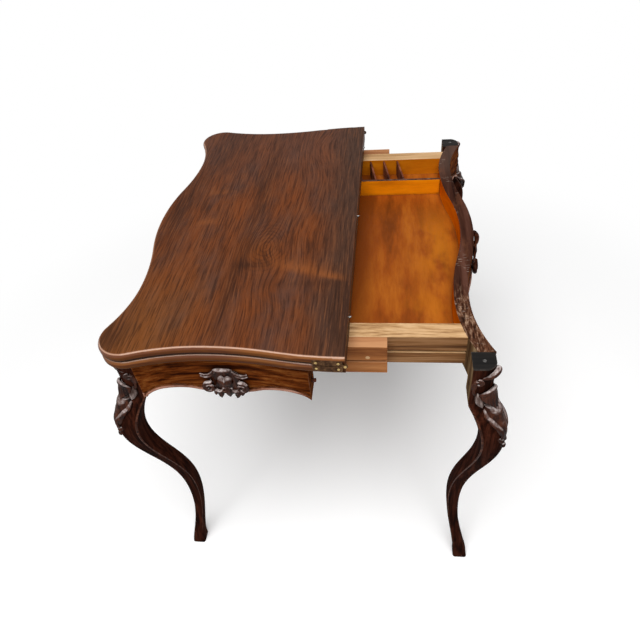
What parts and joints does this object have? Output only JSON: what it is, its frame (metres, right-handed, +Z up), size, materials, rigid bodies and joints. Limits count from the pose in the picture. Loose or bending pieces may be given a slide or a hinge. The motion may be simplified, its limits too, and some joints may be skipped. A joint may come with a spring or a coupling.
{
  "type": "folding games table",
  "caption": "Serpentine fold-over games table on carved cabriole legs, with a pull-out frame on telescopic lopers, a storage well and a hinged double top.",
  "frame": {"origin": "floor point midway between the four legs as they stand in the picture, with the frame pulled out 289 mm", "axes": "+X is the way the frame pulls out, +Y runs along the long side away from the picture's viewer, +Z is up"},
  "size_m": [0.7784, 0.9354, 0.76],
  "materials": {
    "top_rosewood": "polished rosewood veneer",
    "apron_rosewood": "polished rosewood",
    "carved_rosewood": "polished carved rosewood",
    "pine": "bare pine",
    "pearwood": "bare reddish hardwood",
    "stained_wood": "orange stained wood",
    "dark_divider": "dark stained wood",
    "brass": "aged brass",
    "steel": "worn steel",
    "cloth": "playing cloth",
    "black_cap": "ebonised wood"
  },
  "bodies": {
    "fixed_frame": {"lower_leaf": "top_rosewood", "lower_lining": "cloth", "left_apron": "apron_rosewood", "front_apron": "apron_rosewood", "back_apron": "apron_rosewood", "left_front_leg": "apron_rosewood", "left_back_leg": "apron_rosewood", "left_front_knee_leaf": "carved_rosewood", "left_back_knee_leaf": "carved_rosewood", "left_cartouche": "carved_rosewood", "front_cartouche": "carved_rosewood", "back_cartouche": "carved_rosewood", "front_guide_key": "pearwood", "back_guide_key": "pearwood", "front_locating_peg": "dark_divider", "back_locating_peg": "dark_divider", "front_lower_strap": "brass", "back_lower_strap": "brass", "front_hinge_rivet": "brass", "back_hinge_rivet": "brass", "front_glue_block": "pine", "back_glue_block": "pine", "front_lower_strap_screws": "brass", "front_fixing_screws": "steel", "back_lower_strap_screws": "brass", "back_fixing_screws": "steel"},
    "pull_out_frame": {"right_apron": "apron_rosewood", "right_front_leg": "apron_rosewood", "right_back_leg": "apron_rosewood", "right_front_knee_leaf": "carved_rosewood", "right_back_knee_leaf": "carved_rosewood", "right_cartouche": "carved_rosewood", "front_rail": "pine", "back_rail": "pine", "well_end_wall": "stained_wood", "well_floor": "stained_wood", "well_partition": "stained_wood", "first_counter_divider": "dark_divider", "second_counter_divider": "dark_divider", "third_counter_divider": "dark_divider", "fourth_counter_divider": "dark_divider", "front_leg_cap": "black_cap", "back_leg_cap": "black_cap", "front_cap_screw": "steel", "back_cap_screw": "steel"},
    "front_loper": {"front_loper": "pearwood", "front_loper_dowel": "pine"},
    "back_loper": {"back_loper": "pearwood", "back_loper_dowel": "pine"},
    "upper_leaf": {"upper_leaf": "top_rosewood", "upper_lining": "cloth", "front_upper_strap": "brass", "back_upper_strap": "brass", "front_stud": "steel", "middle_stud": "steel", "back_stud": "steel", "front_upper_strap_screws": "brass", "back_upper_strap_screws": "brass"}
  },
  "joints": [
    {"name": "frame_slide", "type": "slide", "parent": "fixed_frame", "child": "pull_out_frame", "axis": [1, 0, 0], "range_m": [-0.289, 0.187]},
    {"name": "front_loper_slide", "type": "slide", "parent": "fixed_frame", "child": "front_loper", "axis": [1, 0, 0], "range_m": [-0.1445, 0.0935]},
    {"name": "back_loper_slide", "type": "slide", "parent": "fixed_frame", "child": "back_loper", "axis": [1, 0, 0], "range_m": [-0.1445, 0.0935]},
    {"name": "leaf_hinge", "type": "hinge", "parent": "fixed_frame", "child": "upper_leaf", "pos_m": [0.0935, 0, 0.74], "axis": [0, 1, 0], "range_deg": [0, 180]}
  ],
  "couplings": [
    {"joint": "front_loper_slide", "follows": "frame_slide", "ratio": 0.5},
    {"joint": "back_loper_slide", "follows": "frame_slide", "ratio": 0.5}
  ]
}
